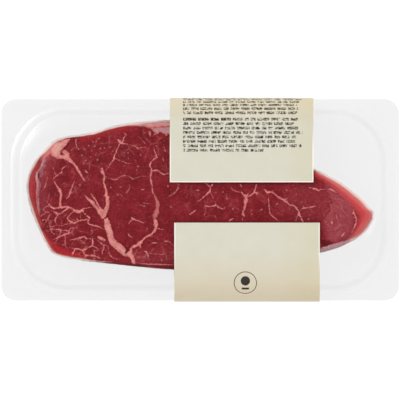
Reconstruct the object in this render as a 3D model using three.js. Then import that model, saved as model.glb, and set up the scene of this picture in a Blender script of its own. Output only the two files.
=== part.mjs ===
// A raw sirloin tip steak sealed in its clear pack: a formed tray above it, a skin film
// drawn up round it from below, and a card sleeve wrapped round the pack's middle.
// Millimetres, +Z up. The origin is on the surface that the pack lies on, under its middle.
import * as THREE from "three";

// Driving dimensions of the pack.
const trayLength = 239;
const trayWidth = 121;
const trayCorner = 9;
const flangeLength = 5.5;
const flangeWidth = 4.5;
const floorCorner = 27;
const wallCorner = 33.5;
const floorInset = { x: 12.5, y: 10.5 };
const packHeight = 24;

// Thickness of each sheet, and the gap kept where one piece touches another.
const cardThickness = 0.35;
const trayWall = 0.6;
const filmThickness = 0.3;
const gap = 0.3;

// The cut's outline at its widest, at the points where it turns, anticlockwise from the tip.
const steakOutline = [
  [104.2, -8.4],
  [101, -4.3],
  [96, 0.9],
  [86.6, 8.5],
  [76.5, 14.5],
  [60, 22.8],
  [25, 41],
  [-10, 47.6],
  [-40, 46],
  [-53, 43.6],
  [-64, 40.1],
  [-85.5, 36.2],
  [-93, 29.5],
  [-98.3, 23.8],
  [-103, 14.5],
  [-103.8, 5],
  [-99, -12],
  [-91.5, -27.5],
  [-88, -32],
  [-80.5, -34.4],
  [-45.5, -39],
  [-16, -41.5],
  [40, -39],
  [72.5, -31.5],
  [82.5, -28.6],
  [91, -24.4],
  [96.3, -21.4],
  [100.3, -17],
];
const stepsPerPoint = 3;
const spine = { from: -55, to: 62, y: -2 };
const widestShare = 0.42;
const underRounding = 4;
const shoulder = { usual: 2, left: 3.5, leftFrom: -84, leftTo: -102, tip: 6.5, tipFrom: 62, tipTo: 104 };
const shoulderSteps = 4;

// How far the film stands off the meat's side, and how it turns out on to the tray.
const filmStandOff = 0.5;
const filmTurn = { height: 3, reach: 0.5 };

// The sleeve's two flaps on top: their free, left and right edges. It is wrapped slightly askew,
// so the panel underneath runs slantwise from one flap to the other.
const sleeveRound = 12;
const upperFlap = { freeEdge: 10.5, left: -18.1, right: 68 };
const lowerFlap = { freeEdge: -13.7, left: -15.4, right: 71.8 };
const sleeveArcSteps = 12;

const cornerSteps = 10;
const wallSteps = 6;

// Heights, worked out from the surface upwards.
const middle = packHeight / 2;
const filmUnder = cardThickness + gap;
const meatUnder = filmUnder + filmThickness + gap;
const trayTop = packHeight - cardThickness - gap;
const trayInside = trayTop - trayWall;
const meatTop = trayInside - gap;
const widestHeight = meatUnder + widestShare * (meatTop - meatUnder);
const flangeTop = middle + trayWall / 2;
const flangeUnder = flangeTop - trayWall;
const flangeSection = { halfLength: trayLength / 2, halfWidth: trayWidth / 2, corner: trayCorner };

const smooth = (from, to, value) => THREE.MathUtils.smoothstep(
  (value - from) / (to - from), 0, 1,
);

// One closed solid through rings of equally many points: a flat cap facing up on the first
// ring, bands between neighbouring rings, and a flat cap facing down on the last.
function loft(rings) {
  const count = rings[0].length;
  const positions = rings.flat(2);
  const triangles = [];
  for (let k = 0; k + 1 < rings.length; k++) {
    for (let i = 0; i < count; i++) {
      const next = (i + 1) % count;
      const [a, b] = [k * count + i, k * count + next];
      const [d, c] = [a + count, b + count];
      triangles.push(a, d, c, a, c, b);
    }
  }
  const flat = (ring) => ring.map(([x, y]) => new THREE.Vector2(x, y));
  const last = (rings.length - 1) * count;
  for (const [a, b, c] of THREE.ShapeUtils.triangulateShape(flat(rings[0]), [])) {
    triangles.push(a, b, c);
  }
  for (const [a, b, c] of THREE.ShapeUtils.triangulateShape(flat(rings.at(-1)), [])) {
    triangles.push(last + a, last + c, last + b);
  }
  const geometry = new THREE.BufferGeometry();
  geometry.setAttribute("position", new THREE.Float32BufferAttribute(positions, 3));
  geometry.setIndex(triangles);
  geometry.computeVertexNormals();
  return geometry;
}

// The outline as a smooth closed curve, read in equal steps by angle and reach from the middle.
const outlineCurve = new THREE.CatmullRomCurve3(
  steakOutline.map(([x, y]) => new THREE.Vector3(x, y, 0)), true, "centripetal",
);
const curveRays = outlineCurve
  .getPoints(steakOutline.length * stepsPerPoint)
  .slice(0, -1)
  .map(({ x, y }) => ({ angle: Math.atan2(y, x), reach: Math.hypot(x, y) }))
  .sort((p, q) => p.angle - q.angle);

// The same curve on the rays through the tray's corners, which the film has to follow round.
const cornerRays = trayRing(flangeSection, 0).map(([x, y]) => {
  const angle = Math.atan2(y, x);
  const after = curveRays.findIndex((ray) => ray.angle > angle);
  const [p, q] = [curveRays[after - 1], curveRays[after]];
  return { angle, reach: THREE.MathUtils.mapLinear(angle, p.angle, q.angle, p.reach, q.reach) };
});

// Every point of the outline, with its direction towards the cut's spine.
const outline = [...curveRays, ...cornerRays]
  .sort((p, q) => p.angle - q.angle)
  .map(({ angle, reach }) => {
    const point = new THREE.Vector3(reach * Math.cos(angle), reach * Math.sin(angle), 0);
    const x = THREE.MathUtils.clamp(point.x, spine.from, spine.to);
    const inwards = new THREE.Vector3(x, spine.y, 0).sub(point).normalize();
    return { x: point.x, y: point.y, inwards, angle };
  });

// How far the flat upper face stands back from the widest outline: most at the tip and the left.
function setBack(x) {
  const left = shoulder.left * smooth(shoulder.leftFrom, shoulder.leftTo, x);
  const tip = shoulder.tip * smooth(shoulder.tipFrom, shoulder.tipTo, x);
  return shoulder.usual + left + tip;
}

// A ring that follows the outline, pulled in from it by a distance that may differ point by point.
function steakRing(pull, z) {
  return outline.map((p) => {
    const d = typeof pull === "function" ? pull(p) : pull;
    return [p.x + p.inwards.x * d, p.y + p.inwards.y * d, z];
  });
}

// Rounding under the cut, from its widest down to its flat underside, as [pull, z].
function underProfile() {
  return Array.from({ length: shoulderSteps + 1 }, (_, k) => {
    const turn = (Math.PI / 2) * (k / shoulderSteps);
    const pull = underRounding * (1 - Math.cos(turn));
    const z = widestHeight - (widestHeight - meatUnder) * Math.sin(turn);
    return [pull, z, Math.sin(turn)];
  });
}

function steakGeometry() {
  const rings = [];
  for (let k = 0; k < shoulderSteps; k++) {
    const turn = (Math.PI / 2) * (k / shoulderSteps);
    const z = widestHeight + (meatTop - widestHeight) * Math.cos(turn);
    rings.push(steakRing((p) => setBack(p.x) * (1 - Math.sin(turn)), z));
  }
  for (const [pull, z] of underProfile()) rings.push(steakRing(pull, z));
  return loft(rings);
}

// The tray's outline at one place of its wall, from the floor's edge (0) to the flange (1).
function wallSection(share) {
  const halfLength = trayLength / 2 - floorInset.x + share * (floorInset.x - flangeLength);
  const halfWidth = trayWidth / 2 - floorInset.y + share * (floorInset.y - flangeWidth);
  const corner = floorCorner + share * (wallCorner - floorCorner);
  const fall = (1 - Math.cos(Math.PI * share)) / 2;
  return { halfLength, halfWidth, corner, fall };
}

// A rounded rectangle, corner by corner.
function trayRing({ halfLength, halfWidth, corner }, z, inset = 0) {
  const radius = corner - inset;
  const ring = [];
  for (let quarter = 0; quarter < 4; quarter++) {
    const signX = quarter === 0 || quarter === 3 ? 1 : -1;
    const signY = quarter < 2 ? 1 : -1;
    for (let k = 0; k <= cornerSteps; k++) {
      const turn = (Math.PI / 2) * (quarter + k / cornerSteps);
      ring.push([
        signX * (halfLength - corner) + radius * Math.cos(turn),
        signY * (halfWidth - corner) + radius * Math.sin(turn),
        z,
      ]);
    }
  }
  return ring;
}

function trayGeometry() {
  const rings = [];
  for (let k = 0; k <= wallSteps; k++) {
    const section = wallSection(k / wallSteps);
    rings.push(trayRing(section, trayTop - section.fall * (trayTop - flangeTop)));
  }
  rings.push(trayRing(flangeSection, flangeTop), trayRing(flangeSection, flangeUnder));
  for (let k = wallSteps; k >= 0; k--) {
    const section = wallSection(k / wallSteps);
    const z = trayInside - section.fall * (trayInside - flangeUnder);
    rings.push(trayRing(section, z, trayWall * Math.sin(Math.PI * (k / wallSteps))));
  }
  return loft(rings);
}

// The same rounded rectangle, met by the rays that pass through the outline's points.
function filmRing({ halfLength, halfWidth, corner }, z, inset) {
  const [a, b, r] = [halfLength - inset, halfWidth - inset, corner - inset];
  return outline.map(({ angle }) => {
    const [c, s] = [Math.abs(Math.cos(angle)), Math.abs(Math.sin(angle))];
    let reach = Math.min(a / c, b / s);
    if (reach * c > a - r && reach * s > b - r) {
      const along = c * (a - r) + s * (b - r);
      reach = along + Math.sqrt(along ** 2 - (a - r) ** 2 - (b - r) ** 2 + r ** 2);
    }
    return [reach * Math.cos(angle), reach * Math.sin(angle), z];
  });
}

// One face of the film, from under the meat, up its side, out on the tray and down to the flange.
function filmFace(depth) {
  const out = filmStandOff + depth;
  const bonded = meatTop - depth;
  const rings = underProfile()
    .reverse()
    .map(([pull, z, under]) => steakRing(pull - out, z - (gap + depth) * under));
  rings.push(steakRing(-out, meatTop - filmTurn.height - depth));
  rings.push(steakRing(-out - filmTurn.reach, bonded));
  for (let k = 0; k <= wallSteps; k++) {
    const section = wallSection(k / wallSteps);
    const z = bonded - section.fall * (trayInside - flangeUnder);
    const lean = Math.sin(Math.PI * (k / wallSteps));
    rings.push(filmRing(section, z, (trayWall + gap + depth) * lean + depth));
  }
  rings.push(filmRing(flangeSection, flangeUnder - gap - depth, gap));
  return rings;
}

function filmGeometry() {
  return loft([...filmFace(0), ...filmFace(filmThickness).reverse()]);
}

// The sleeve's path round the pack, seen along X: each station has its place, its outward
// direction and the flap whose left and right edges it has.
function sleeveStations() {
  const straight = trayWidth / 2 + gap + cardThickness - sleeveRound;
  const freeEnd = (flap) => ({ y: flap.freeEdge, z: packHeight, normal: [0, 1], flap });
  const bend = (side, flap, startTurn) => Array.from({ length: sleeveArcSteps + 1 }, (_, k) => {
    const turn = startTurn - Math.PI * (k / sleeveArcSteps);
    const normal = [Math.cos(turn), Math.sin(turn)];
    return {
      y: side * straight + sleeveRound * normal[0],
      z: middle + sleeveRound * normal[1],
      normal,
      flap,
    };
  });
  return [
    freeEnd(upperFlap),
    ...bend(1, upperFlap, Math.PI / 2),
    ...bend(-1, lowerFlap, -Math.PI / 2),
    freeEnd(lowerFlap),
  ];
}

function sleeveGeometry() {
  const rings = sleeveStations().map(({ y, z, normal, flap: { left, right } }) => {
    const [insideY, insideZ] = [y - normal[0] * cardThickness, z - normal[1] * cardThickness];
    return [[left, y, z], [right, y, z], [right, insideY, insideZ], [left, insideY, insideZ]];
  });
  const count = rings[0].length;
  const triangles = [];
  for (let k = 0; k + 1 < rings.length; k++) {
    for (let i = 0; i < count; i++) {
      const [a, b] = [k * count + i, k * count + ((i + 1) % count)];
      triangles.push(a, b, b + count, a, b + count, a + count);
    }
  }
  const last = (rings.length - 1) * count;
  triangles.push(0, 2, 1, 0, 3, 2, last, last + 1, last + 2, last, last + 2, last + 3);
  const geometry = new THREE.BufferGeometry();
  geometry.setAttribute("position", new THREE.Float32BufferAttribute(rings.flat(2), 3));
  geometry.setIndex(triangles);
  geometry.computeVertexNormals();
  return geometry;
}

const redMeat = new THREE.MeshStandardMaterial({ color: 0x86232e, roughness: 0.45, metalness: 0 });
const clearTray = new THREE.MeshStandardMaterial({
  color: 0xf2f3f3, roughness: 0.1, metalness: 0, transparent: true, opacity: 0.25,
});
const clearFilm = new THREE.MeshStandardMaterial({
  color: 0xf5f5f5, roughness: 0.15, metalness: 0, transparent: true, opacity: 0.2,
});
const creamCard = new THREE.MeshStandardMaterial({ color: 0xdedbca, roughness: 0.75, metalness: 0 });

function piece(name, geometry, material) {
  const mesh = new THREE.Mesh(geometry, material);
  mesh.name = name;
  return mesh;
}

const pack = new THREE.Group();
pack.add(
  piece("steak", steakGeometry(), redMeat),
  piece("tray", trayGeometry(), clearTray),
  piece("skin_film", filmGeometry(), clearFilm),
  piece("sleeve", sleeveGeometry(), creamCard),
);

export default pack;
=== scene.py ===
# A raw sirloin tip steak sealed in a clear tray, with a cream card sleeve round the pack.
import math
from functools import partial

import bmesh
import bpy
import numpy as np
from mathutils import Matrix, Vector, noise
from mathutils.bvhtree import BVHTree


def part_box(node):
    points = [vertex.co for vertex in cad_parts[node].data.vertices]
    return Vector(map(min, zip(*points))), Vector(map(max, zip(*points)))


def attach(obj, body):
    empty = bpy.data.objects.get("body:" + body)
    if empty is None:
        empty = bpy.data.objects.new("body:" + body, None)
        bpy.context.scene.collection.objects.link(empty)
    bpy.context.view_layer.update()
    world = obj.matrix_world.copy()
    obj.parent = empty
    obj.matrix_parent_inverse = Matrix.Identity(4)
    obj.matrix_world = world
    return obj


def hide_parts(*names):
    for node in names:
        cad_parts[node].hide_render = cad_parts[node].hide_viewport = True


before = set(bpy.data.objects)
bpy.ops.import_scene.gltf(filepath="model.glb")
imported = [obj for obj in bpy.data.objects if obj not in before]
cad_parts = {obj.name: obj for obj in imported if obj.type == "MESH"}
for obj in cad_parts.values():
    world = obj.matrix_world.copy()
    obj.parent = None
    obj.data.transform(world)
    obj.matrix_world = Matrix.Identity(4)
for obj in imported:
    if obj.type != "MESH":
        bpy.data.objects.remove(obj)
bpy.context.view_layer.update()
mm = 0.001

# Where a place was read off the photograph: pixels from its upper left corner, all at one scale.
photo = {"middle": (200.0, 199.8), "mmPerPixel": 0.6, "pixels": 400}
sharpFrom = 50          # degrees between two faces, from which their edge is sharp
mergeWithin = 0.001     # mm between points that are one
white = "FFFFFF"
# A span says from where to where a value is read, and then what those two become.
spanSockets = ("From Min", "From Max", "To Min", "To Max")


def linear(hexColour):
    channels = [int(hexColour[i:i + 2], 16) / 255 for i in (0, 2, 4)]
    return [c / 12.92 if c <= 0.04045 else ((c + 0.055) / 1.055) ** 2.4 for c in channels] + [1.0]


# Adds a node, sets its properties, and sets its inputs or links them to a node or a socket.
def addNode(tree, kind, inputs=None, **settings):
    node = tree.nodes.new("ShaderNode" + kind)
    for name, value in settings.items():
        setattr(node, name, value)
    for socket, value in (inputs or {}).items():
        if isinstance(value, bpy.types.Node):
            value = next(output for output in value.outputs if output.enabled)
        if isinstance(value, bpy.types.NodeSocket):
            tree.links.new(value, node.inputs[socket])
        else:
            node.inputs[socket].default_value = value
    return node


def newMaterial(name):
    material = bpy.data.materials.new(name)
    material.use_nodes = True
    material.node_tree.nodes.clear()
    return material, material.node_tree


def smoothStep(low, high, value):
    share = np.clip((value - low) / (high - low), 0, 1)
    return share * share * (3 - 2 * share)


# Object coordinates in millimetres, so that a pattern's scale is one over its size.
def millimetres(tree):
    coords = addNode(tree, "TexCoord")
    return addNode(tree, "Mapping", {"Vector": coords.outputs["Object"], "Scale": (1 / mm, 1 / mm, 1 / mm)})


def finishPiece(piece, node, material):
    piece.data.materials.append(material)
    piece.data.shade_smooth()
    piece.data.set_sharp_from_angle(angle=math.radians(sharpFrom))
    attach(piece, "root")
    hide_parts(node)
    print(piece.name, len(piece.data.polygons), "faces")


def newPiece(name, bm):
    mesh = bpy.data.meshes.new(name)
    bm.to_mesh(mesh)
    bm.free()
    piece = bpy.data.objects.new(name, mesh)
    bpy.context.scene.collection.objects.link(piece)
    return piece


def copyOfNode(node):
    bm = bmesh.new()
    bm.from_mesh(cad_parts[node].data)
    bmesh.ops.remove_doubles(bm, verts=bm.verts, dist=mergeWithin * mm)
    return bm


# The steak's fat seams. Each has its widths along it in mm, how pale it is, and its turns in
# photo pixels.
fatSeams = {
    "cornerFat": ([6.4, 7.4], 1.0, [(55.6, 151.8), (57, 147.6)]),
    "cornerWedge": ([6.4, 4.2, 0.6], 1.0, [(58, 146.6), (63, 143.2), (70, 139.2)]),
    "cornerEdge": ([2.2, 3.2, 3.0, 2.0], 0.5, [(45.5, 156), (49, 150.5), (54.5, 144.5), (62, 139.8)]),
    "cornerLobe": ([2.6, 3.0, 2.6], 1.0, [(64.6, 151.6), (66.6, 154.4), (66.6, 157.4)]),
    "cornerLink": ([2.6, 2.0, 2.2], 0.95, [(57.4, 156.4), (61.5, 156.8), (66, 157)]),
    "cornerTail": ([3.0, 2.0, 1.5, 1.1, 0.8, 0.5], 1.0, [(65.6, 157.1), (69.8, 160.4), (73.9, 163.7),
        (77.2, 168.7), (81.3, 175.3), (85.2, 182.2)]),
    "notch": ([1.2, 0.5, 0.8, 0.4], 0.95, [(76.4, 138.6), (76, 143.1), (77.2, 147.2), (79.2, 150)]),
    "notchArm": ([0.45], 0.55, [(71, 150.5), (73.5, 148), (76.8, 147.5)]),
    "leftFork": ([0.4, 0.7, 0.8, 0.8, 0.9], 0.9, [(66.6, 165.3), (62.3, 168.7), (61.5, 172.4),
        (56.6, 175.7), (53.3, 179.5)]),
    "leftForkArm": ([0.5], 0.65, [(52.6, 166.4), (54.9, 172), (56.3, 175.5)]),
    "leftStem": ([0.5, 0.8, 1.1, 1.6, 1.3, 1.1, 1.2], 1.0, [(54.5, 181.9), (56.6, 185.2), (58.2, 188.1),
        (59.9, 190.2), (61.1, 195.1), (60.3, 200.1), (60.6, 207)]),
    "leftThread": ([0.5, 0.7, 0.6], 0.7, [(47.5, 177), (46.2, 182.7), (45, 186.8), (42.5, 189.7)]),
    "middleThread": ([0.4, 0.5, 1.1, 0.7, 0.8], 0.85, [(74.9, 180.6), (72.7, 185.2), (70.6, 191.8),
        (68.9, 195.9), (66.3, 199)]),
    "middleSpur": ([0.8, 0.4], 0.8, [(70.4, 191.6), (72, 193)]),
    "crossSeam": ([0.5, 0.9, 1.2, 1.3, 1.2, 0.9], 1.0, [(47.4, 202.6), (50.5, 205.5), (53.3, 208),
        (60.4, 207.5), (66.7, 207), (71.9, 208.2), (74.3, 210)]),
    "crossKnot": ([1.0, 2.0, 1.6], 1.0, [(74.3, 210), (78.3, 211.4), (82.4, 210.5)]),
    "crossArm": ([0.8, 0.6, 0.5], 0.85, [(82.4, 210.5), (83.8, 208.5), (87, 207.9), (91.8, 207.6)]),
    "crossRight": ([1.0, 0.7, 0.8, 0.7, 0.8, 0.9, 0.9, 0.8], 1.0, [(82.4, 211), (84.8, 213.8), (87.5, 216),
        (90, 218), (88.6, 220), (87.7, 221.9), (89.6, 224.2), (95.3, 225.7), (99.1, 226.7), (104, 229.3)]),
    "edgeRing": ([0.5], 0.75, [(52.8, 208), (49.5, 206.1), (46.1, 206.6), (44.4, 208.2), (43.7, 209.9),
        (45.2, 211.4), (49.5, 212.3), (52.3, 210.6)]),
    "loopLower": ([0.6, 0.7, 1.1, 0.8, 0.7], 0.95, [(53.8, 208.4), (53.8, 211.4), (56.6, 212.8),
        (59.5, 213.8), (62.8, 211.8), (66.7, 209.2), (70.5, 208.2)]),
    "loopTail": ([0.9, 0.6, 0.6, 0.5], 0.9, [(59.5, 213.8), (57.1, 216.6), (55.2, 219.5), (56.3, 222.8),
        (57.1, 225.6)]),
    "edgeNetA": ([0.5], 0.75, [(40.2, 221.4), (43.7, 219.6), (46.6, 220), (50.4, 220.4), (55.2, 219.5)]),
    "edgeNetB": ([0.45], 0.6, [(39.6, 217.4), (41.8, 215.2), (44.7, 213.6), (45.2, 211.4)]),
    "edgeNetC": ([0.45], 0.55, [(49.5, 212.5), (49.2, 215), (48.3, 217.4), (46.6, 220)]),
    "edgeNetD": ([0.5], 0.65, [(47.5, 226.4), (52.3, 226.8), (56.4, 225.2)]),
    "edgeNetE": ([0.45], 0.5, [(43, 226), (45.5, 223.5), (46.6, 220)]),
    "edgeNetF": ([0.45], 0.45, [(50, 192.5), (48.6, 197), (47.4, 202.4)]),
    "cell": ([0.7, 0.6, 0.6, 0.8, 1.0, 0.8, 0.7, 0.6], 0.95, [(75.3, 210.8), (72.5, 212.6), (70.2, 215),
        (67.6, 218), (69.3, 220.9), (74.3, 223.1), (76.4, 221.5), (81, 220.5), (85.8, 219.6),
        (89.8, 218.2)]),
    "cellSpur": ([0.6], 0.85, [(77, 218.3), (78.6, 220.7)]),
    "cellLink": ([0.45], 0.6, [(57.1, 225.4), (61.9, 225.6), (66, 224.2), (70, 223.4), (74.3, 223.1)]),
    "lowBeam": ([0.6, 0.7, 0.6, 0.8, 0.9], 0.95, [(48.3, 231.2), (50.3, 229.6), (52.8, 229), (60.4, 229.8),
        (66, 230.6), (68.8, 230.8)]),
    "lowBeamArm": ([0.9, 0.7, 0.5], 1.0, [(68.8, 230.8), (70.8, 228.6), (74.4, 228)]),
    "lowBeamStem": ([1.0, 1.0, 0.7], 1.0, [(68.8, 230.8), (68.9, 232.4), (68.5, 234.4)]),
    "lowBeamPost": ([0.55], 0.85, [(60.4, 229.6), (60.4, 233.2)]),
    "lowBeamEnd": ([0.5], 0.7, [(52.3, 229.2), (51.8, 231.9), (54.5, 234.2)]),
    "lowStreak": ([0.5, 1.0, 0.8, 0.5], 1.0, [(54, 239.6), (60, 236.3), (66.4, 234.1), (68.5, 233.8)]),
    "lowArch": ([0.4, 0.6, 1.0, 0.8, 0.8], 0.95, [(69.5, 240.2), (76.2, 238.7), (83.8, 236.7),
        (86.9, 238.5), (92.4, 238.6)]),
    "lowArchPost": ([0.8, 0.8, 0.9], 1.0, [(92.4, 238.6), (92.9, 242.8), (92.4, 245.8)]),
    "lowArchFoot": ([0.8, 0.6, 0.8, 0.9], 0.95, [(92.4, 245.8), (87.7, 248.1), (82.6, 250.2), (80, 249.2)]),
    "lowArchArm": ([0.7, 0.5], 0.85, [(92.4, 245.8), (96.3, 247.7), (99.3, 250.3)]),
    "lowArchIn": ([0.45], 0.5, [(76.4, 238.8), (79.1, 241.9), (82.9, 243.8)]),
    "lowArchLink": ([0.45], 0.5, [(86.7, 238.9), (84.8, 241.2), (82.9, 243.8)]),
    "bottomBeam": ([0.5, 0.8, 1.0, 0.8, 0.9, 0.6], 1.0, [(69.3, 247.6), (75.2, 248.6), (80, 249.2),
        (82.9, 251.6), (85.8, 255.2), (89, 255), (93, 254.6)]),
    "bottomBeamArm": ([0.7, 0.7, 1.0], 1.0, [(75.4, 249), (73.4, 252.2), (71.9, 255.4)]),
    "bottomBeamPost": ([0.7], 0.85, [(85.8, 255.2), (84.9, 257.8)]),
    "bottomEdge": ([0.6, 0.8, 0.6], 0.8, [(86, 255.6), (94.4, 256), (101, 259.2)]),
    "bottomFork": ([0.5], 0.7, [(98.2, 256), (100.8, 259.3)]),
    "sideFleck": ([0.5], 0.6, [(91.3, 230.3), (92.4, 232.4), (90.5, 234.8)]),
    "nearBlob": ([1.0, 2.0, 1.0], 0.95, [(98.4, 237), (101.6, 238.6), (104.8, 240.2)]),
    "nearHook": ([0.6, 0.7, 0.8, 0.6], 0.85, [(97.2, 240), (101, 242.8), (103.9, 245.8), (103.6, 249),
        (102, 251.4), (102.4, 254.6)]),
    "nearTrail": ([0.8, 0.5, 0.7, 0.6], 0.85, [(109.3, 251.6), (109.9, 255), (113.1, 257.7),
        (117.7, 259.6)]),
    "nearDrop": ([0.5], 0.6, [(104, 244.8), (107.5, 246.4), (108.9, 251.4)]),
    "veeLeft": ([0.9, 1.3, 1.8, 1.8, 2.4], 1.0, [(85, 195.6), (88.4, 199.2), (92, 201.9), (95.3, 206.3),
        (99, 210.6), (101.8, 213.3)]),
    "veeRight": ([0.5, 0.8, 0.9, 1.0, 1.6], 0.95, [(90.8, 194), (93.1, 196.5), (96.9, 202.5),
        (100.1, 207.9), (102.8, 210.6)]),
    "starStem": ([0.9, 0.6, 0.6, 1.2], 0.95, [(126.4, 134.6), (124.3, 137.1), (123.5, 140),
        (121.4, 142.5)]),
    "starHead": ([0.6], 0.8, [(124.5, 133.4), (126.6, 135.2)]),
    "star": ([0.5, 1.5, 0.5], 1.0, [(118.3, 140.2), (120.8, 142.5), (124.1, 143.9)]),
    "upperSeam": ([1.1, 0.9, 0.8, 0.8, 1.2, 0.8, 0.7, 0.5], 1.0, [(120.2, 142.9), (118.1, 147.1),
        (116, 152.1), (113.9, 157.9), (114.3, 159.1), (111.4, 162.1), (107.4, 169)]),
    "stemTop": ([0.6, 1.5, 1.0, 0.8], 0.95, [(101.9, 168), (102.7, 172), (104.4, 175.8), (103.6, 181)]),
    "stemTopArm": ([0.6], 0.8, [(100, 170.6), (102.7, 172.2)]),
    "stem": ([0.8, 1.0, 1.0, 1.4, 2.2, 2.2, 2.7, 3.6], 1.0, [(103.6, 181), (105, 186.5), (106.1, 190),
        (106.6, 195.4), (107.7, 200.8), (107.2, 207.3), (105, 211.7), (103.4, 214.6)]),
    "stemArms": ([0.5, 1.2, 0.5], 0.95, [(103.2, 195.8), (106.6, 196), (110.1, 197.1)]),
    "meetingFat": ([1.8, 2.6, 1.6], 1.0, [(98.8, 211.8), (101.4, 214.4), (102.4, 217)]),
    "broadSeam": ([2.4, 3.5, 3.8, 3.6, 3.8], 1.0, [(106.4, 219.6), (107.2, 224.7), (109.3, 231.2),
        (111, 237.7), (113.7, 243.1)]),
    "broadSeamFoot": ([3.8, 4.2, 4.0, 3.0], 0.92, [(114.6, 243.9), (119.1, 247.4), (124.5, 252.3),
        (129, 254.4)]),
    "broadSeamEnd": ([3.0, 2.5, 1.8], 1.0, [(129.4, 254), (132.1, 257.2), (133.9, 262.4)]),
    "starArm": ([0.4, 0.45, 0.55, 0.8, 0.4], 0.72, [(124.4, 143.6), (132.2, 145.4), (136.4, 147.1),
        (138.6, 150.2)]),
    "starArmEnd": ([0.4], 0.55, [(138.4, 148.3), (143.9, 147.2), (148.2, 149.2)]),
    "seamArm": ([0.6, 0.45, 0.45], 0.6, [(114.8, 158.7), (118.9, 160), (123.1, 161.6), (126.4, 163.3),
        (132.4, 163.8)]),
    "link": ([0.45, 0.4, 0.75, 0.4, 0.45, 0.4, 0.75, 0.45, 0.4, 0.5], 0.66, [(104.4, 176.2), (108.9, 178.3),
        (115.6, 179.5), (119.7, 177), (124.7, 175.4), (129.7, 176.6), (133, 179.1), (136.4, 177.8),
        (142.2, 176.2), (149.9, 176.6)]),
    "linkDrop": ([0.5, 0.7, 0.4], 0.5, [(129.3, 184.5), (129.9, 187.1), (127.4, 191), (124.1, 193.5)]),
    "linkTail": ([0.4], 0.4, [(119.5, 193.2), (122.8, 197.1), (126.3, 199.6)]),
    "topThread": ([0.4, 0.5, 0.7], 0.6, [(138.4, 136.3), (142.2, 140.4), (145.5, 143.8)]),
    "middleDash": ([0.3, 0.8], 0.8, [(140.1, 189.8), (144.4, 189.3)]),
    "middleLine": ([0.4, 0.4, 0.8], 0.5, [(135.7, 204.5), (141.5, 205.5), (144.7, 206.6)]),
    "middleLineHigh": ([0.35], 0.45, [(141.5, 202.3), (146.1, 203.5), (150.8, 203.9)]),
    "rightSeam": ([0.9, 0.7, 1.0, 0.7, 0.8, 0.7, 1.1, 0.8, 0.9, 1.0, 1.0], 1.0, [(153.8, 146.9),
        (154.7, 151.2), (156.7, 156.7), (153.8, 159.6), (150.5, 163.3), (149.7, 166.2), (151.7, 170),
        (150.5, 176.2), (151.4, 182), (152.3, 186), (152.5, 191.3), (154.9, 196.5)]),
    "rightSeamFoot": ([1.0, 1.7, 1.8, 2.0, 2.8, 1.8], 0.6, [(154.9, 196.5), (157.4, 201.9), (157.8, 205.5),
        (157.4, 209.5), (155.4, 215.6), (154.4, 218.4)]),
    "rightSeamLow": ([1.3, 1.9, 1.9, 1.2, 0.9], 1.0, [(155.2, 219.6), (155.8, 222.5), (155.9, 225.8),
        (154.9, 230.1), (152.2, 233.6)]),
    "rightSeamReturn": ([0.9, 1.0, 0.8, 0.9, 2.0, 1.3, 1.4, 1.8], 1.0, [(152.2, 233.6), (150.5, 235),
        (146.2, 236.8), (142.4, 240.4), (139.7, 243.3), (135.4, 245.8), (131.8, 247.6), (131, 251.5)]),
    "returnSpur": ([1.4, 0.5], 0.95, [(139.7, 244.2), (140.3, 248.3)]),
    "returnArm": ([0.8, 0.5], 0.75, [(149, 235.7), (152.6, 236.7)]),
    "rightSeamSpur": ([0.9, 0.5], 0.85, [(155.1, 155.2), (157.9, 158.2)]),
    "rightArm": ([0.8, 1.0, 0.7, 0.8, 0.5], 0.9, [(152.6, 170.4), (157.1, 170.4), (160.5, 172.4),
        (164.2, 174.5), (170, 172.8)]),
    "footArm": ([0.8, 0.5, 0.4], 0.8, [(156.5, 228), (160.5, 229.2), (165, 229.6)]),
    "leafTop": ([0.6, 1.1, 0.6, 0.6, 0.8], 1.0, [(131, 217.1), (132.8, 219), (137, 220.6), (140.6, 221.6),
        (143.9, 223.1)]),
    "leafFoot": ([0.5, 0.7, 0.7], 0.9, [(132.5, 219.4), (129.6, 221.6), (128.9, 224.5)]),
    "leafLow": ([0.5, 0.6, 0.8], 0.8, [(127.6, 233), (129.9, 236.1), (134, 237.8)]),
    "dashA": ([0.4, 0.7, 0.5], 0.8, [(150, 243.3), (154.5, 243), (158.5, 242.9)]),
    "dashB": ([0.5, 0.6, 0.9], 0.85, [(163.3, 240.4), (167.9, 241.5), (171.4, 242.8)]),
    "hook": ([0.8, 1.1, 0.7], 0.9, [(143.8, 250.6), (147.3, 252.9), (148.5, 257.6)]),
    "hookArm": ([0.4], 0.5, [(148.9, 252.9), (153.8, 254), (165.9, 254.6)]),
    "flapThread": ([0.4, 0.5, 1.0, 0.5, 0.4], 0.7, [(179.2, 182.6), (177.9, 186.6), (177.3, 189.6),
        (175.2, 192.2), (171, 195.2), (167.6, 197.5)]),
    "topBand": ([0.4, 1.2, 2.0, 2.8, 2.9, 2.7], 0.9, [(118, 127), (128, 124.6), (140, 124.2), (152, 124.9),
        (161, 124.2), (170, 123.4)]),
    "topPatch": ([0.5, 1.4, 3.2, 3.1, 3.9, 4.6], 0.5, [(147, 127.2), (152, 128.4), (156, 130.2),
        (160.5, 129.6), (165, 130.4), (170, 130.6)]),
    "topPatchToe": ([1.9, 0.8], 0.8, [(157, 132.4), (154, 134.4)]),
    "topPatchTooth": ([1.7, 0.7], 0.7, [(165.6, 132.6), (166.8, 135.4)]),
    "topSpur": ([0.8, 1.1, 0.5], 0.9, [(149.3, 130.7), (150.1, 133.8), (149.7, 136.5)]),
    "rightFleckA": ([0.6], 0.75, [(163.8, 144.6), (164.6, 150), (166, 151.9)]),
    "rightFleckB": ([0.5], 0.5, [(162.6, 157.7), (163.8, 161.4)]),
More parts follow.
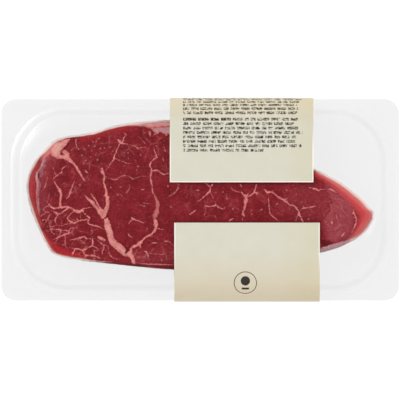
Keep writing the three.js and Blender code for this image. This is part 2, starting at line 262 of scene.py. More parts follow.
    "leftFleckStar": ([0.5, 0.9, 0.5], 0.9, [(85.3, 170), (86.6, 171.9), (87.9, 173.6)]),
    "lowerFaceEdge": ([0.5, 0.7, 0.7], 0.75, [(134.3, 262.3), (142.9, 263.7), (157, 264.3), (173, 264.9)]),
    "gapVee": ([0.6, 1.0, 0.9], 0.9, [(205.7, 183.2), (208.6, 185.7), (210.4, 186.8)]),
    "gapVeeArm": ([0.8, 0.9], 0.9, [(212.7, 184.2), (210.7, 186.8)]),
    "gapVeeStem": ([1.1, 1.0, 1.0, 0.6, 0.8, 0.5, 0.7], 0.95, [(210.4, 186.8), (210.1, 189.6),
        (209.2, 191.9), (206.2, 194.6), (203.8, 197), (201.6, 199), (197, 201.7)]),
    "gapVeeFoot": ([0.6, 0.4, 0.4], 0.6, [(209.5, 192.2), (211.9, 195.2), (215.2, 202.1)]),
    "gapWave": ([0.5, 0.7, 0.7, 1.3, 0.8, 0.9, 0.9], 0.95, [(204.2, 205.6), (209.2, 206.6), (213.4, 206),
        (215.8, 205.1), (218.2, 206.9), (221.2, 208.4), (224.1, 208.7)]),
    "gapWaveSpike": ([0.4, 0.8], 0.8, [(215.4, 202.3), (215.9, 205.1)]),
    "gapWaveEnd": ([0.5], 0.85, [(224.7, 207.2), (223.2, 209.9)]),
    "gapWaveDrop": ([0.35], 0.4, [(205.6, 205.8), (205.6, 211), (204.6, 214.5)]),
    "gapThread": ([0.4, 0.9, 0.6], 0.9, [(189.3, 214.7), (192.5, 212.6), (195.9, 210)]),
    "gapDashA": ([0.4, 1.0], 0.8, [(194.7, 190.5), (199.4, 190.2)]),
    "gapDashB": ([0.4, 0.6], 0.7, [(226.2, 193.4), (227.2, 200.9)]),
    "gapDashC": ([0.7, 0.6, 0.4, 0.4], 0.6, [(231.2, 187.4), (232.5, 189.9), (236.7, 191.4),
        (241.2, 192.5)]),
    "gapDashE": ([0.4, 0.7], 0.75, [(239.2, 183.4), (241.9, 186.9)]),
    "gapDashF": ([0.4], 0.35, [(206.8, 215.9), (213.4, 215.8), (217, 219.5)]),
    "gapRing": ([0.6, 1.1, 1.8], 0.9, [(241, 192.3), (243.9, 195.2), (245.8, 196.2)]),
    "gapRingArm": ([0.7, 1.2], 0.85, [(248.2, 194.2), (246.6, 196.2)]),
    "gapRingDrop": ([2.2, 2.2, 1.4, 0.8, 1.1, 0.7], 0.9, [(245.9, 196.4), (245.7, 201.3), (245, 205.7),
        (243.6, 210.7), (242.6, 213), (244.4, 215.9)]),
    "gapStem": ([0.9, 0.8, 0.9, 1.4, 0.7, 0.8, 1.1], 0.9, [(256.8, 183.2), (255.8, 186.6), (254.9, 190.2),
        (254.3, 192.2), (251.9, 194.3), (249.9, 195.8), (247.6, 197)]),
    "gapStemArm": ([1.2, 1.0, 0.4], 0.85, [(254.5, 192.3), (256.7, 192.9), (258.9, 193.5)]),
    "gapStemFoot": ([0.9, 0.4], 0.8, [(256.6, 193), (256.4, 195.5)]),
    "gapHook": ([1.0, 1.0, 0.5], 0.9, [(228.8, 222.4), (230.7, 219.7), (233.6, 218.4)]),
    "gapDashD": ([0.5], 0.6, [(242.4, 222), (242.5, 218.6)]),
    "longSeam": ([0.8, 1.3, 0.9, 1.0, 1.2, 0.9, 1.5, 0.8, 0.9, 0.7, 0.9, 1.2, 0.7, 0.8], 0.95,
        [(264.6, 189.6), (267.5, 192.2), (271.1, 192), (275.8, 194.9), (278.8, 197.6), (282.4, 199.1),
        (285.1, 200.9), (289.6, 204.8), (293.8, 205.7), (296.2, 208.4), (298.2, 211.1), (298.8, 214),
        (300.6, 217), (302.9, 222)]),
    "longSeamStart": ([0.9, 0.4], 0.85, [(271.3, 192), (272.8, 190.7)]),
    "longSeamSpike": ([1.1, 0.4], 0.9, [(284.4, 199.8), (287.6, 198.1)]),
    "longSeamDrop": ([0.8, 0.5, 0.4, 0.7, 0.9, 0.8, 0.7, 0.6], 0.8, [(267.5, 192.2), (268.4, 196.1),
        (268.7, 202.7), (269.3, 208.7), (269.9, 212.9), (272.3, 215.8), (275.8, 218.8), (279.5, 221.8)]),
    "longSeamArm": ([0.5, 0.9, 0.5, 0.8, 0.4], 0.8, [(299.2, 211), (302.7, 208.4), (306.3, 207.8),
        (311.7, 206.9), (316.3, 206.2)]),
    "longSeamTwig": ([0.4, 0.6], 0.75, [(303.7, 205.2), (303, 208.4)]),
    "longSeamFoot": ([0.5], 0.6, [(297.8, 214.8), (295.5, 221)]),
    "longSeamFleck": ([0.5, 0.7], 0.65, [(274.8, 205), (277.8, 203.2)]),
    "tipDashA": ([0.4, 0.8, 1.2, 0.6, 0.4], 0.95, [(307.6, 187.3), (312, 188.2), (315.6, 188.7),
        (318.4, 190.2), (320.9, 189.3), (325, 189.3)]),
    "tipDashB": ([0.4, 0.9, 0.4], 0.95, [(328.2, 189.1), (331.6, 189.8), (336.5, 192.8)]),
    "tipArc": ([0.5, 1.3, 0.9, 0.7, 0.6, 0.4], 0.9, [(353.2, 209.4), (353.7, 212.7), (355.4, 216.1),
        (356.3, 220.4), (355, 225.5), (352.5, 231), (349.2, 237)]),
    "tipArcSpike": ([0.5, 1.0], 0.85, [(351.6, 213.2), (353.8, 213.2)]),
    "tipDashC": ([0.6], 0.85, [(335.7, 214.3), (336.7, 217), (337.8, 219.9)]),
    "tipDashD": ([0.8, 1.2], 1.0, [(330.9, 220.6), (332.4, 223.8)]),
    "tipDashE": ([0.9, 0.8, 0.5], 0.9, [(341.1, 236.4), (342.7, 234.8), (344.6, 231.9)]),
    "tipLineA": ([0.4], 0.45, [(328.2, 196.5), (334.1, 199.1), (340.1, 199.3), (346.1, 203.3),
        (350.5, 205.6)]),
    "tipLineB": ([0.4], 0.4, [(329, 204.2), (335.9, 205.9), (343.5, 211), (347.8, 216.1), (349.4, 223)]),
    "tipLineC": ([0.35], 0.35, [(323.4, 216.5), (325, 212.2), (329.4, 208.6)]),
    "tipLineD": ([0.35], 0.35, [(327, 230.5), (334, 229), (341, 226)]),
    "tipEdgeLine": ([0.7, 0.8, 0.6], 0.9, [(320, 249.2), (333.3, 244.7), (349.6, 239.9)]),
    "leftMembrane": ([0.7, 1.0, 0.9, 0.9, 1.0, 1.3, 1.0, 1.1, 0.8, 0.6], 0.66, [(42.7, 154.8),
        (42.9, 161.2), (40.9, 167), (37.8, 172.8), (36.9, 177.8), (37.6, 182.7), (37.1, 190.2),
        (36.7, 196.8), (37.1, 204), (37.6, 212)]),
}

# Lone flecks of fat, in photo pixels.
fatFlecks = {
    "widths": [0.3, 0.85, 0.3], "tone": 0.54, "long": (1.2, 2.8), "bend": 0.8, "seed": 5,
    "places": [(99, 138.6), (93.1, 142), (88.2, 145.8), (82, 155), (96.5, 154.6), (90.7, 157.5),
        (101.5, 163.3), (79.7, 185.6), (100, 148), (117.7, 193.9), (128.1, 153), (124, 152.5), (138, 166.2),
        (137.2, 170), (111.2, 187.1), (104, 148), (156.3, 146.7), (165, 151), (168, 186.5), (191, 188.4),
        (197.3, 201.3), (223, 192.2), (204.7, 214.6), (215.5, 215.8), (252, 214), (261.8, 209.9),
        (296.5, 194.6), (308.4, 219.4), (161.4, 259.8), (325.2, 222.1), (144.6, 206.6), (84, 149.4),
        (96, 141.4), (110, 146.4), (112.6, 151.4), (91.4, 150.6), (86, 160.4), (107.4, 154.8),
        (84.4, 163.4), (97.6, 159.6), (95, 146.4), (128.6, 158.6), (140.6, 155.2), (120.6, 187.4),
        (178.4, 188.2), (171.4, 206.4), (146.8, 228.4), (233.4, 208.6), (286.4, 190.2)],
}

# Dark clefts beside the fat, with painted shade beside the left glare, under the tip and along the lower
# edge, and the card's painted shadow, as width in mm, depth of tone, and turns in photo pixels.
cleftsAndPaintedShade = {
    "cornerCleft": ([0.3, 0.5, 0.6, 0.6], 0.88, [(69.8, 141), (66.3, 146), (62.6, 149.6), (60.4, 153.7)]),
    "meetingCleft": ([1.2, 0.8], 0.94, [(107.8, 215.3), (105.4, 218.6)]),
    "seamHole": ([2.0, 1.3], 0.94, [(127.3, 249.6), (125.8, 252.8)]),
    "rightSeamGap": ([0.5], 0.8, [(153.2, 219.2), (156.2, 218.6)]),
    "glareShade": ([0.8, 1.0, 0.7], 0.8, [(39.4, 172), (38.7, 175), (38.4, 178.5)]),
    "lowerTipShade": ([2.4, 4.0, 2.0], 0.7, [(320, 241), (325, 242.6), (331, 243.2)]),
    "lowerEdgeShade": ([0.6, 1.2, 1.4, 1.2], 0.4, [(112, 262.6), (126, 264.3), (146, 266.2), (173, 267.7)]),
    # Painted shadow that the card's edges cast on the meat.
    "upperCardShadow": ([1.2], 0.6, [(168.5, 182.9), (314.6, 182.9)]),
    "upperSideCardShadow": ([1.0], 0.5, [(314.9, 168), (314.9, 182.6)]),
    "lowerCardShadow": ([1.2], 0.6, [(173.4, 222.0), (320.8, 222.0)]),
    "lowerSideCardShadow": ([1.0], 0.5, [(173.5, 222.4), (173.5, 270)]),
    "lowerTipCardShadow": ([1.0], 0.5, [(320.9, 222.4), (320.9, 254)]),
}

# Bright red rims, where the edge slopes away from the tray: same form as the clefts.
redRims = {
    "leftStrip": ([2.6, 4.0, 4.4, 4.0, 3.4], 0.6, [(37, 164), (32.4, 177), (31.6, 190), (33.6, 206),
        (39.6, 226)]),
    "lowerLeft": ([2.4, 4.0, 5.5, 4.0, 2.0], 0.9, [(42, 233), (49, 243), (57, 250.5), (70, 254.5),
        (86, 257.6)]),
    "upperLeftEdge": ([3.0, 4.5, 4.5, 3.0], 0.4, [(82, 139), (100, 133.6), (116, 129.2), (136, 126.6)]),
}
# Rims that are pinker and wider, towards the tip.
pinkRims = {
    "tipUpper": ([3.2, 4.6, 6.0, 7.4, 9.0], 0.9, [(316, 173.2), (331, 180.2), (345, 190.2), (356.5, 200.6),
        (365, 210.5)]),
    "tipLower": ([8.4, 5.2, 3.0, 1.4], 0.86, [(366, 213), (362.5, 224), (356.5, 233), (350, 239.6)]),
    "upperEnd": ([2.0, 3.4], 0.5, [(300, 164), (316, 173)]),
    "corner": ([3.0, 5.0, 4.0], 0.48, [(43, 158), (48, 151), (54, 145)]),
}

# Grey skins of membrane over the meat, and a painted highlight where the left side glares: same form.
greySkinsAndGlare = {
    "leftVeil": ([1.4, 2.2, 2.0, 1.2], 0.42, [(44, 158), (43.4, 165), (41.6, 171), (40.6, 176)]),
    "membraneSkin": ([0.6, 1.4, 1.0, 0.7, 1.3, 0.7], 0.6, [(38.6, 178), (38.4, 184), (38.4, 192),
        (38.2, 199), (38.6, 208), (39.4, 214)]),
    # A painted highlight: the glare on the left side, in the skin's pale colour.
    "leftGlare": ([0.7, 1.2, 0.6], 1.0, [(37.4, 171.4), (36.5, 176.4), (37.2, 181.4)]),
    "leftGlareLow": ([0.7], 0.5, [(38.4, 180.2), (40, 183.5), (39.6, 187.7)]),
    "topBandSkin": ([1.6, 2.4, 2.4], 0.35, [(132, 124.4), (150, 124.4), (170, 123.2)]),
    "topPatchSkin": ([0.8, 2.4, 2.6, 3.4, 4.2], 0.6, [(152, 128.6), (156.4, 130.4), (160.5, 129.4),
        (165, 130.4), (170, 130.4)]),
    "tipWedge": ([3.0, 3.6, 2.2, 1.2], 1.0, [(318, 251.2), (331, 248), (342, 244.2), (348.4, 241.8)]),
    # A grey band along the lower edge.
    "lowerEdgeGreyBand": ([0.9, 1.0, 0.6], 0.6, [(139, 267), (147, 267.6), (155, 268)]),
}

# A redder haze where the face leaves the tray: same form.
redHazes = {
    "tipHaze": ([12.0, 18.0, 18.0, 10.0], 0.95, [(331, 193), (338, 206), (339.5, 222), (335.5, 236)]),
    "cornerHaze": ([4.0, 5.0, 4.6], 0.95, [(46, 160.5), (50, 158), (54.5, 157.5)]),
    "leftHaze": ([5.0, 6.0, 6.0, 6.0, 5.0], 0.4, [(50, 161), (47, 169), (44, 180), (43, 196), (42.5, 212)]),
    "lowerHaze": ([8.0, 10.0, 8.0], 0.25, [(138, 257), (153, 257), (170, 256)]),
    "gapHaze": ([9.0, 20.0, 20.0], 0.25, [(286, 205), (304, 202), (325, 202)]),
}

# Where the thin skins between bundles of fibres show, and how much: same form.
fineNets = {
    "lowerLeftNet": ([22.0, 26.0, 22.0], 0.46, [(52, 218), (70, 232), (88, 248)]),
    "upperLeftNet": ([26.0, 26.0], 0.22, [(66, 175), (108, 152)]),
    "upperNet": ([20.0, 22.0], 0.25, [(130, 145), (165, 150)]),
    "gapNet": ([16.0, 18.0, 18.0], 0.12, [(190, 200), (240, 203), (300, 208)]),
    "footNet": ([12.0, 14.0], 0.35, [(140, 252), (170, 248)]),
    "tipNet": ([16.0, 16.0], 0.3, [(332, 208), (340, 222)]),
}

# The outer edge's pale fringe of fat, which thins out along the lower edge: same form.
paleFringes = {
    "topEnd": ([6.0], 0.35, [(206, 126), (190, 122)]),
    "topFringe": ([6.0], 0.8, [(188, 121), (140, 122), (112, 127), (84, 136)]),
    "leftFringe": ([9.0], 0.95, [(84, 136), (56, 139), (42, 153), (29, 172), (27, 190), (34, 220),
        (52, 252)]),
    "lowerFringe": ([8.0, 7.0, 5.5], 0.85, [(52, 252), (66, 256.6), (78, 259)]),
    "lowerThin": ([5.0], 0.68, [(80.5, 259.2), (87, 260)]),
    "lowerThinner": ([4.5], 0.56, [(89.5, 260.3), (96, 261)]),
    "lowerEnd": ([4.0], 0.44, [(98.5, 261.2), (110, 262.1)]),
    "tipStart": ([7.0], 0.45, [(290, 160), (304, 165)]),
    "tipFringe": ([8.0], 0.95, [(308, 167), (340, 183), (374, 212)]),
    "tipFringeLow": ([6.0, 5.0, 3.0], 0.85, [(374, 214), (362, 233), (350, 240.4)]),
    "tipEnd": ([4.0], 0.4, [(347, 242), (338, 245)]),
}

# The strokes that tint the face, each kind with how soft its edge is, in mm.
tintStrokes = {
    # The cleft strokes also paint shade and the card's shadow.
    "cleftAndShade": (cleftsAndPaintedShade, 0.3), "redRim": (redRims, 1.6), "pinkRim": (pinkRims, 2.2),
    # The skin strokes also paint the left glare's highlight.
    "skin": (greySkinsAndGlare, 0.5), "haze": (redHazes, 3.0), "net": (fineNets, 5.0),
}

steakForm = {
    "voxel": 1.15,              # mm between points, halved twice beside the seams
    "refine": (1.9, 1.1),       # mm from a seam's edge
    "refineDepth": 0.6,         # mm below the top
    "free": (0.25, 2.0),        # mm below the top, where the sides come free of the pressed face
    "underside": (-0.9, -0.3),  # how far a face looks down, where the sides end in the flat underside
    "sideRelief": ((0.3, 9.0, 3.1), (0.14, 2.6, 8.4)),      # lumps and fibres: mm deep and long, and seed
    "grow": 0.3,                # mm by which the free sides stand out
    "turnSteps": 4,             # steps from one turn of a seam to the next
    "wobble": (0.5, 2.6),       # pixels that the seams wander, and over how many
    "wobbleSeeds": (1.3, 6.7),
    "taper": (0.25, 1.5),       # share of a seam's length that tapers, and mm wide from which none does
    "thin": (0.86, 0.35),       # how wide such thin seams are drawn, and how much of that their ends keep
    "knots": (0.5, 2.4, 3.0, 2.9),      # how far a seam's width varies, over how many pixels, the mm wide
                                        # from which it doesn't, and seed
    "reach": (4.0, 12.0),       # pixels from a seam and from a stroke that are looked at
    "shown": (8, 16),           # mm below the top, where the face's seams give way to the underside's
    "underShift": (13.0, -8.0),     # pixels by which those lie elsewhere
    "underWander": 4,           # and how much more they wander
    "fringeDepth": (10.0, 12.5),        # mm below the top where the outer fat ends
    "fringeRag": ((4.0, 7.0, 4.7), (1.6, 2.2, 9.2)),    # how far that wanders and over how much, and seed
    "fringeTones": (0.2, 0.8),  # tones between which the fat grows to its full depth
    "fringeSoft": 2.0,          # mm
}
seedShares = (1, 1.7, 0.3)      # how far a seed moves the noise along X, Y and Z


def noiseAt(points, size, seed):
    away = Vector([seed * share for share in seedShares])
    return np.array([noise.noise(Vector(p) / size + away) for p in points])


# The places of a seam, smoothed through its turns, with its half width at each, all in pixels.
def smoothSeam(widths, turns):
    form = steakForm
    points = np.array(turns, float)
    padded = np.vstack([2 * points[0] - points[1], points, 2 * points[-1] - points[-2]])
    made = []
    for i in range(len(points) - 1):
        p0, p1, p2, p3 = padded[i:i + 4]
        for t in np.arange(form["turnSteps"]) / form["turnSteps"]:
            made.append(0.5 * (2 * p1 + (p2 - p0) * t + (2 * p0 - 5 * p1 + 4 * p2 - p3) * t ** 2
                               + (3 * p1 - p0 - 3 * p2 + p3) * t ** 3))
    made = np.vstack([made, points[-1]])
    share = np.linspace(0, 1, len(made))
    along = np.interp(share * (len(widths) - 1), range(len(widths)), widths)
    tapering, untapered = form["taper"]
    if max(widths) < untapered:
        drawn, end = form["thin"]
        along = along * drawn * (end + (1 - end) * np.minimum(1, np.minimum(share, 1 - share) / tapering))
    depth, size, widest, seed = form["knots"]
    if max(widths) < widest:
        along = along * (1 + depth * noiseAt(np.pad(made, ((0, 0), (0, 1))), size, seed))
    return made, along / 2 / photo["mmPerPixel"]


# For each place, how far it lies outside the nearest seam's edge, in mm, and that seam's tone.
def seamField(places, seams, reach):
    edge = np.full(len(places), reach)
    tone = np.zeros(len(places))
    for widths, pale, turns in seams:
        points, halfWidths = smoothSeam(widths, turns)
        margin = reach + halfWidths.max()
        inBox = (places > points.min(0) - margin) & (places < points.max(0) + margin)
        near = np.flatnonzero(inBox.all(1))
        if not len(near):
            continue
        best = np.full(len(near), reach)
        for a, b, ra, rb in zip(points[:-1], points[1:], halfWidths[:-1], halfWidths[1:]):
            along = np.clip(((places[near] - a) @ (b - a)) / max((b - a) @ (b - a), 1e-9), 0, 1)
            away = np.linalg.norm(places[near] - a - along[:, None] * (b - a), axis=1)
            best = np.minimum(best, away - ra - along * (rb - ra))
        better = best < edge[near]
        edge[near[better]] = best[better]
        tone[near[better]] = pale
    return edge * photo["mmPerPixel"], tone


def setAttribute(mesh, name, values):
    attribute = mesh.attributes.new(name, "FLOAT", "POINT")
    attribute.data.foreach_set("value", np.asarray(values, np.float32))


# Photo places of points in mm. The seams wander a little, and on the underside they lie elsewhere.
def seamPlaces(co, below):
    form = steakForm
    depth, size = form["wobble"]
    flatCo = co * [1, 1, 0]
    pixel = photo["mmPerPixel"]
    wander = np.stack([noiseAt(flatCo, size * pixel, seed) for seed in form["wobbleSeeds"]], axis=1)
    places = np.stack([photo["middle"][0] + co[:, 0] / pixel, photo["middle"][1] - co[:, 1] / pixel], axis=1)
    under = smoothStep(*form["shown"], below)[:, None]
    return places + wander * depth + under * (np.array(form["underShift"]) + wander * form["underWander"])


# The lone flecks, each a short bent seam that lies any way round.
def fleckSeams():
    rng = np.random.default_rng(fatFlecks["seed"])
    seams = []
    for place in np.array(fatFlecks["places"]):
        turn = rng.uniform(0, math.pi)
        step = np.array([math.cos(turn), math.sin(turn)]) * rng.uniform(*fatFlecks["long"]) / 2
        aside = np.array([-step[1], step[0]]) * rng.uniform(-1, 1) * fatFlecks["bend"]
        seams.append((fatFlecks["widths"], fatFlecks["tone"], [place - step, place + aside, place + step]))
    return seams


# The merged copy of the solid is remeshed evenly, made finer beside the seams, and laid back on the solid.
def makeSteak():
    form = steakForm
    seams = list(fatSeams.values()) + fleckSeams()
    seamReach, strokeReach = form["reach"]
    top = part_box("steak")[1].z / mm
    piece = newPiece("sirloin_tip_steak", copyOfNode("steak"))
    solid = BVHTree.FromObject(piece, bpy.context.evaluated_depsgraph_get())
    remesh = piece.modifiers.new("evenPoints", "REMESH")
    remesh.mode = "VOXEL"
    remesh.voxel_size = form["voxel"] * mm
    shaped = bpy.data.meshes.new_from_object(piece.evaluated_get(bpy.context.evaluated_depsgraph_get()))
    piece.modifiers.clear()
    bm = bmesh.new()
    bm.from_mesh(shaped)
    bpy.data.meshes.remove(shaped)
    for reach in form["refine"]:
        verts = [v for v in bm.verts if v.co.z / mm > top - form["refineDepth"]]
        co = np.array([v.co for v in verts]) / mm
        edge = seamField(seamPlaces(co, top - co[:, 2]), seams, seamReach)[0]
        near = {v for v, e in zip(verts, edge) if e < reach}
        edges = [e for e in bm.edges if near.issuperset(e.verts)]
        bmesh.ops.subdivide_edges(bm, edges=edges, cuts=1, use_grid_fill=True)
    for v in bm.verts:
        v.co = solid.find_nearest(v.co)[0]
    bm.to_mesh(piece.data)
    bm.free()

    mesh = piece.data
    co = np.empty(len(mesh.vertices) * 3)
    normals = np.empty(len(mesh.vertices) * 3)
    mesh.vertices.foreach_get("co", co)
    mesh.vertices.foreach_get("normal", normals)
    co, normals = co.reshape(-1, 3) / mm, normals.reshape(-1, 3)
    below = top - co[:, 2]
    free = smoothStep(*form["free"], below) * smoothStep(*form["underside"], normals[:, 2])
    relief = sum(depth * noiseAt(co, size, seed) for depth, size, seed in form["sideRelief"])
    co += normals * (free * (relief + form["grow"]))[:, None]
    mesh.vertices.foreach_set("co", (co * mm).ravel())
    mesh.update()

    places = seamPlaces(co, below)
    edge, tone = seamField(places, seams, seamReach)
    setAttribute(mesh, "upward", normals[:, 2])
    setAttribute(mesh, "seamEdge", edge)
    setAttribute(mesh, "seamTone", tone)
    shown = 1 - smoothStep(*form["shown"], below)
    for name, (strokes, soft) in tintStrokes.items():
        edge, tone = seamField(places, strokes.values(), strokeReach)
        setAttribute(mesh, name, tone * smoothStep(soft, -soft, edge) * shown)
    edge, tone = seamField(places, paleFringes.values(), strokeReach)
    depth = below + sum(far * noiseAt(co, size, seed) for far, size, seed in form["fringeRag"])
    faint, full = form["fringeTones"]
    depth = depth / np.clip((tone - faint) / (full - faint), faint, 1)    # a faint fringe is a shallow one
    fringe = tone * smoothStep(form["fringeSoft"], -form["fringeSoft"], edge)
    setAttribute(mesh, "fringe", fringe * (1 - smoothStep(*form["fringeDepth"], depth)))
    return piece


beefLooks = {
    "tones": {"deepRed": "6F131D", "midRed": "8B1E28", "liftRed": "A12F39", "redRim": "C42A32",
              "pinkRim": "DC5052", "fatPink": "F0908C", "fatPale": "EEAAA0", "cleftAndShade": "5E0A14",
              "skin": "D7B1B7", "haze": "B04E57", "fringe": "FFEEE4"},
    # Each noise's size in mm, its detail and its roughness.
    "noises": {"blotch": (8.0, 3.0, 0.5), "grain": (1.3, 4.0, 0.65), "fray": (0.55, 2.0, 0.5),
               "streak": (2.2, 1.0, 0.5), "fleck": (1.2, 2.0, 0.5), "gap": (4.0, 1.0, 0.5),
               "warp": (2.6, 2.0, 0.5)},
    "fibre": (2.6, 0.9), "fibreTurn": 35, "fibreRise": 0.3, "fibreDetail": 3.0,     # mm, degrees, per mm
    "bundle": 6.5, "warpDepth": 1.4,        # mm
    "lean": {"grain": 1.2, "fibre": 0.8},   # shares beside the blotches' one
    "frayDepth": {"grain": 1.4, "fray": 0.9}, "ragDepth": 0.9,      # mm
    "redBlush": 0.4,        # how much a red rim blushes beside a pink one
    "spans": {
        "redness": (1.1, 1.9), "cloud": (0.2, 0.8, 0.65), "bundleLine": (0.075, 0.01),
        "broken": (0.42, 0.66), "fleck": (0.62, 0.78, 0, 0.3), "beside": (2.4, 0.2, 0, 0.3),
        "redSpeckle": (0.3, 0.6, 0.5), "pinkSpeckle": (0.3, 0.6, 0.8), "turning": (0.85, 0.35, 0, 0.46),
        "inSeam": (0.16, -0.16), "deepInFat": (-0.4, -2.0), "streak": (0.35, 0.6, 0.65),
        "patchy": (0.38, 0.62, 0.35), "sideways": (0.45, 0.15), "ragged": (0.25, 0.65, 0, 0.95),
        "lowHalf": (0.12, -0.1, 0.05, 0.85), "mottled": (0.3, 0.65, 0.25), "rough": (0, 1, 0.38, 0.58),
    },
    "smoothSpans": ("inSeam", "sideways"),
    "bump": (0.25, 0.2),        # share, and mm
    "ior": 1.38, "specular": 0.15,
}


# Raw beef, knife cut and vacuum pressed: dark red with a fine wet grain, its fat matt and pink.
def rawBeef():
    looks = beefLooks
    material, tree = newMaterial("raw_beef_knife_cut")
    node = partial(addNode, tree)
    coords = millimetres(tree)
    tones = {name: linear(tone) for name, tone in looks["tones"].items()}
    attr = {name: node("Attribute", attribute_name=name).outputs["Fac"]
            for name in ("upward", "seamEdge", "seamTone", "fringe", *tintStrokes)}
    noises = {name: node("TexNoise", {"Vector": coords, "Scale": 1 / size, "Detail": detail,
                                      "Roughness": rough})
              for name, (size, detail, rough) in looks["noises"].items()}
    grain = noises["grain"]
    spans = {name: dict(zip(spanSockets, span)) for name, span in looks["spans"].items()}

    # The lean: broad blotches, fibres and a fine grain, all in three reds.
    turned = node("Mapping", {"Vector": coords, "Rotation": (0, 0, math.radians(looks["fibreTurn"])),
                              "Scale": (1 / looks["fibre"][0], 1 / looks["fibre"][1], looks["fibreRise"])})
    fibre = node("TexNoise", {"Vector": turned, "Scale": 1.0, "Detail": looks["fibreDetail"]})
    leanMix = noises["blotch"]
    for name, pattern in (("grain", grain), ("fibre", fibre)):
        leanMix = node("Math", {0: pattern, 1: looks["lean"][name], 2: leanMix}, operation="MULTIPLY_ADD")
    redness = node("MapRange", {"Value": leanMix, **spans["redness"]})
    lean = node("ValToRGB", {"Fac": redness})
    ramp = lean.color_ramp.elements
    ramp[0].color, ramp[1].color = tones["deepRed"], tones["liftRed"]
    ramp.new(0.5).color = tones["midRed"]

    # Thin skins between the bundles of fibres.
    warp = noises["warp"].outputs["Color"]
    warped = node("VectorMath", {0: warp, 1: (looks["warpDepth"],) * 3, 2: coords}, operation="MULTIPLY_ADD")
    bundles = node("TexVoronoi", {"Vector": warped, "Scale": 1 / looks["bundle"]},
                   feature="DISTANCE_TO_EDGE")

    # A seam's edge is frayed at two scales, and the outer fringe's at one.
    evened = {name: node("Math", {0: noises[name], 1: -0.5}, operation="ADD")
              for name in looks["frayDepth"]}
    frayed = attr["seamEdge"]
    for name, depth in looks["frayDepth"].items():
        frayed = node("Math", {0: evened[name], 1: depth, 2: frayed}, operation="MULTIPLY_ADD")
    frayedFringe = node("Math", {0: evened["grain"], 1: looks["ragDepth"], 2: attr["fringe"]},
                        operation="MULTIPLY_ADD")

    # What each span reads.
    sources = {
        "cloud": redness, "bundleLine": bundles, "broken": noises["gap"], "fleck": noises["fleck"],
        "beside": attr["seamEdge"], "redSpeckle": grain, "pinkSpeckle": grain, "turning": attr["upward"],
        "inSeam": frayed, "deepInFat": attr["seamEdge"], "streak": noises["streak"], "patchy": grain,
        "sideways": attr["upward"], "ragged": frayedFringe, "lowHalf": attr["upward"],
        "mottled": noises["streak"], "rough": grain,
    }
    read = {name: node("MapRange", {"Value": source, **spans[name]}) for name, source in sources.items()}
    for name in looks["smoothSpans"]:
        read[name].interpolation_type = "SMOOTHSTEP"
    blush = node("Math", {0: attr["redRim"], 1: looks["redBlush"], 2: attr["pinkRim"]},
                 operation="MULTIPLY_ADD")
    streak = node("Math", {0: read["streak"], 1: read["deepInFat"]}, operation="MAXIMUM")
    fat = node("Mix", {0: read["deepInFat"], 6: tones["fatPink"], 7: tones["fatPale"]}, data_type="RGBA")
    mottled = node("Math", {0: read["lowHalf"], 1: read["mottled"]}, operation="MULTIPLY")
    outerFat = node("Mix", {0: mottled, 6: tones["fringe"], 7: tones["fatPale"]}, data_type="RGBA")

    # Each colour lies over those before it, by the product of its shares.
    colour = lean
    for tone, *shares in (
            (tones["haze"], read["cloud"], attr["haze"]),
            (tones["fatPink"], read["bundleLine"], read["broken"], attr["net"]),
            (tones["fatPink"], read["fleck"]),      # flecks too small to place one by one
            (tones["deepRed"], read["beside"], attr["seamTone"]),       # the lean is darker beside a seam
            (tones["redRim"], read["redSpeckle"], attr["redRim"]),
            (tones["pinkRim"], read["pinkSpeckle"], attr["pinkRim"]),
            (tones["fatPale"], read["turning"], blush),
            (fat, read["inSeam"], attr["seamTone"], streak),
            # grey skins, and the painted highlight of the left glare
            (tones["skin"], read["patchy"], attr["skin"]),
            (outerFat, read["sideways"], read["ragged"]),
            # the cleft colour, which also paints shade and the shadow of the card's edges
            (tones["cleftAndShade"], attr["cleftAndShade"])):
        share = shares[0]
        for factor in shares[1:]:
            share = node("Math", {0: share, 1: factor}, operation="MULTIPLY")
        colour = node("Mix", {0: share, 6: colour, 7: tone}, data_type="RGBA")
    strength, depth = looks["bump"]
    bump = node("Bump", {"Height": grain, "Strength": strength, "Distance": depth * mm})
    shader = node("BsdfPrincipled", {"Base Color": colour, "Roughness": read["rough"], "Normal": bump,
                                     "IOR": looks["ior"], "Specular IOR Level": looks["specular"]})
    node("OutputMaterial", {"Surface": shader})
    return material


trayForm = {
    "flange": (5.5, 4.5), "floorInset": (12.5, 10.5), "thickness": 0.6,     # mm
    "corner": 9.0, "wallCorner": 33.5, "floorCorner": 27.0,                 # mm
    "wallSteps": 18, "aroundSteps": 72,
    "wallDrawn": 8, "flangeDrawn": 0.5,     # how soon the wall is fully drawn out, and how far the flange
    # Ridges pressed into the flange: share of the way out, and mm up.
    "ridges": [(0.16, 0.0), (0.24, 0.14), (0.32, 0.0), (0.5, 0.0), (0.58, 0.14), (0.66, 0.0), (0.78, 0.0),
               (0.86, 0.2), (0.94, 0.0), (1.0, 0.0)],
}


# Moves a ring of points from one rounded rectangle to the next: half length, half width, corner, height,
# and how far the sheet is drawn out there.
def reshapeRing(verts, drawn, old, new):
    for v in verts:
        v[drawn] = new[4]
        signs = [math.copysign(1, v.co[i]) for i in (0, 1)]
        turn = [(v.co[i] - signs[i] * (old[i] - old[2])) / old[2] for i in (0, 1)]
        v.co = [signs[i] * (new[i] - new[2]) + turn[i] * new[2] for i in (0, 1)] + [new[3]]


